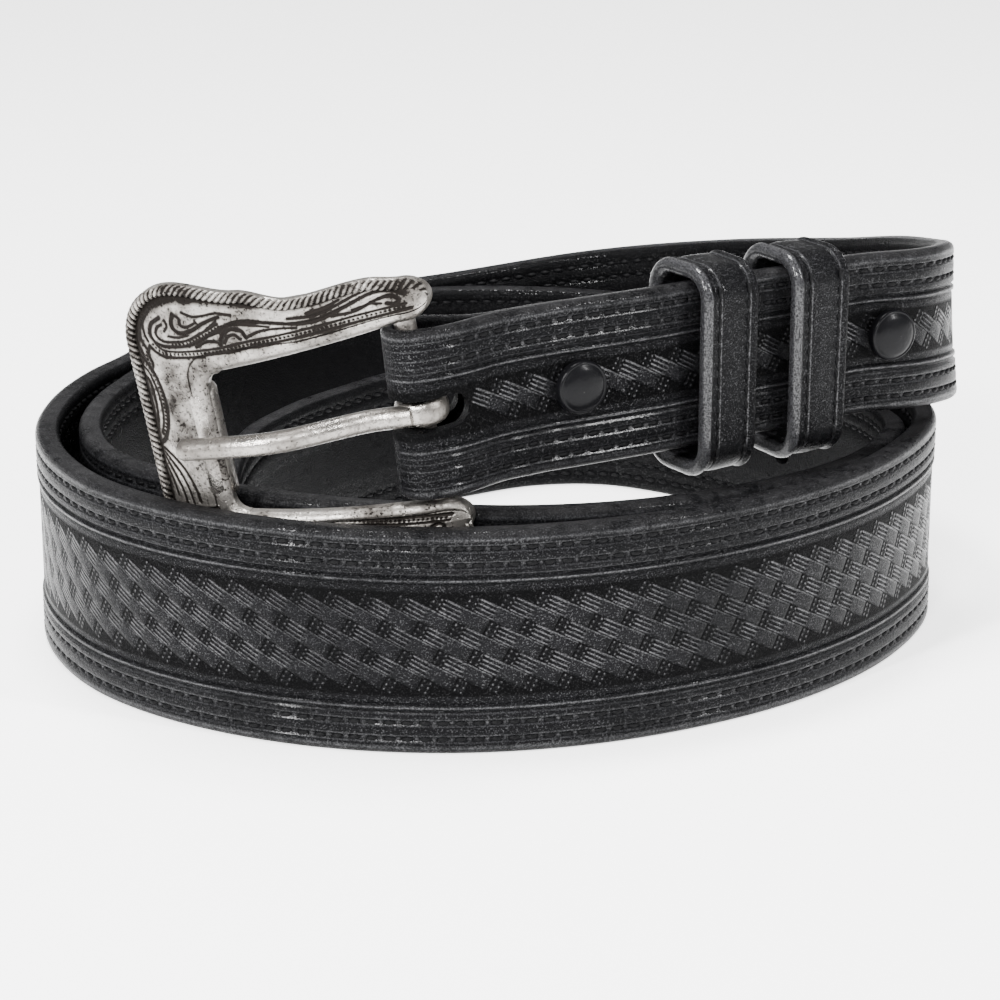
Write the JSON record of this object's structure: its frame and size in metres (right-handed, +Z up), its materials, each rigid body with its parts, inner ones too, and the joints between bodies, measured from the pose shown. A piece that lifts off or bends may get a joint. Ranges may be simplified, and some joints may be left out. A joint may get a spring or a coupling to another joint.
{
  "type": "western tooled belt, rolled",
  "caption": "Tooled leather belt rolled up and standing on its edge, with an engraved bowed buckle, swinging prong, two keepers and screw caps.",
  "frame": {"origin": "on the floor, under the middle of the rolled belt's outline", "axes": "+Z up, -Y towards the buckle's face, +X to the viewer's right"},
  "size_m": [0.165, 0.162, 0.0781],
  "materials": {
    "strap_leather": "black tooled leather, satin",
    "keeper_leather": "black smooth leather, satin",
    "cap_enamel": "black enamel, semi-gloss",
    "antique_silver": "antique silver plate, engraved",
    "worn_silver": "antique silver plate, worn bright"
  },
  "bodies": {
    "strap": {"belt_strap": "strap_leather", "keeper_front": "keeper_leather", "keeper_rear": "keeper_leather", "snap_front": "cap_enamel", "snap_rear": "cap_enamel"},
    "frame": {"buckle_frame": "antique_silver"},
    "prong": {"buckle_prong": "worn_silver"}
  },
  "joints": [
    {"name": "buckle_hinge", "type": "hinge", "parent": "strap", "child": "frame", "pos_m": [-0.01323, -0.07188, 0.05595], "axis": [-0.1778, -0.0575, 0.9824], "range_deg": [-2.4, 1.2]},
    {"name": "prong_hinge", "type": "hinge", "parent": "frame", "child": "prong", "pos_m": [-0.01323, -0.07188, 0.05595], "axis": [-0.1778, -0.0575, 0.9824], "range_deg": [0, 110]}
  ]
}
